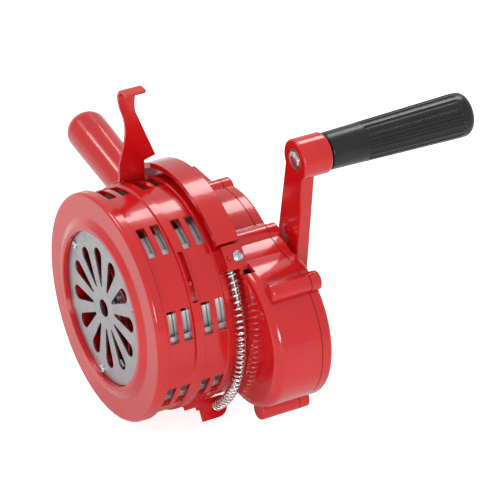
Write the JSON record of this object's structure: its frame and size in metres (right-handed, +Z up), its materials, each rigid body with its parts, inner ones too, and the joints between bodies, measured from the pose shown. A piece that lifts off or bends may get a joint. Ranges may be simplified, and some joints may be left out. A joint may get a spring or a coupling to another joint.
{
  "type": "hand crank siren",
  "caption": "Hand-cranked siren: a slotted drum and rotor behind a petal grille, driven through a gear case by a crank with a turning grip.",
  "frame": {"origin": "centre of the cap's round rim on the rotor's axis", "axes": "-Y out of the grille along the rotor's axis, +X towards the crank's side, +Z up with the crank and the lever upright"},
  "size_m": [0.3037, 0.2317, 0.2145],
  "materials": {
    "red_paint": "gloss",
    "red_sheet": "gloss",
    "plain_steel_sheet": "satin",
    "zinc_screws": "satin",
    "bare_aluminium": "satin",
    "spring_wire": "gloss",
    "machined_steel": "satin",
    "bronze": "satin",
    "yellow_zinc": "satin",
    "black_plastic": "satin",
    "black_rubber": "matte",
    "gasket_paper": "matte"
  },
  "bodies": {
    "housing": {"gear_housing": "red_paint", "front_cap": "red_paint", "grille_plate": "plain_steel_sheet", "grille_screws": "zinc_screws", "cap_lock_screw": "zinc_screws", "stator_drum": "bare_aluminium", "guide_pins": "zinc_screws", "drum_screws": "zinc_screws", "cover_gasket": "gasket_paper", "gear_cover": "red_paint", "cover_screws": "zinc_screws", "bearing_outer_races": "machined_steel", "bearing_balls": "machined_steel", "idler_axle": "machined_steel", "crank_bushes": "bronze", "shaft_seal": "black_rubber", "side_handle": "red_paint", "handle_stud": "machined_steel", "spring_bracket": "red_sheet", "bracket_screw": "zinc_screws", "spring_rod": "machined_steel"},
    "shutter": {"shutter_ring": "red_paint", "finger_lever": "red_sheet", "lever_rivets": "zinc_screws", "spring_lug": "red_sheet", "lug_rivets": "zinc_screws", "return_spring": "spring_wire"},
    "rotor": {"rotor": "red_paint", "rotor_shaft": "machined_steel", "rotor_nut": "zinc_screws", "rotor_washer": "zinc_screws", "bearing_inner_races": "machined_steel", "rotor_pinion": "machined_steel"},
    "idler": {"idler_pinion": "machined_steel", "idler_gear": "machined_steel"},
    "crank": {"crank_gear": "machined_steel", "crank_shaft": "machined_steel", "crank_key": "machined_steel", "retaining_ring": "machined_steel", "crank_arm": "red_sheet", "hub_bush": "bronze", "spindle_washer": "yellow_zinc", "arm_washer": "zinc_screws", "arm_nut": "zinc_screws"},
    "grip": {"grip": "black_plastic", "grip_spindle": "machined_steel", "spindle_nut": "yellow_zinc"}
  },
  "joints": [
    {"name": "shutter_turn", "type": "hinge", "parent": "housing", "child": "shutter", "pos_m": [0, 0, 0], "axis": [0, -1, 0], "range_deg": [-14.5, 8], "stiffness_Nm_per_rad": 1.2, "deforming": ["return_spring"]},
    {"name": "rotor_spin", "type": "hinge", "parent": "housing", "child": "rotor", "pos_m": [0, 0, 0], "axis": [0, 1, 0], "continuous": true},
    {"name": "idler_spin", "type": "hinge", "parent": "housing", "child": "idler", "pos_m": [0.00915, 0, 0.02646], "axis": [0, 1, 0], "continuous": true},
    {"name": "crank_spin", "type": "hinge", "parent": "housing", "child": "crank", "pos_m": [0.044, 0, -0.002], "axis": [0, 1, 0], "continuous": true},
    {"name": "grip_spin", "type": "hinge", "parent": "crank", "child": "grip", "pos_m": [0.05874, 0, 0.10701], "axis": [0, 1, 0], "continuous": true}
  ],
  "couplings": [
    {"joint": "idler_spin", "follows": "crank_spin", "ratio": -5.4286},
    {"joint": "rotor_spin", "follows": "crank_spin", "ratio": 21.714}
  ]
}
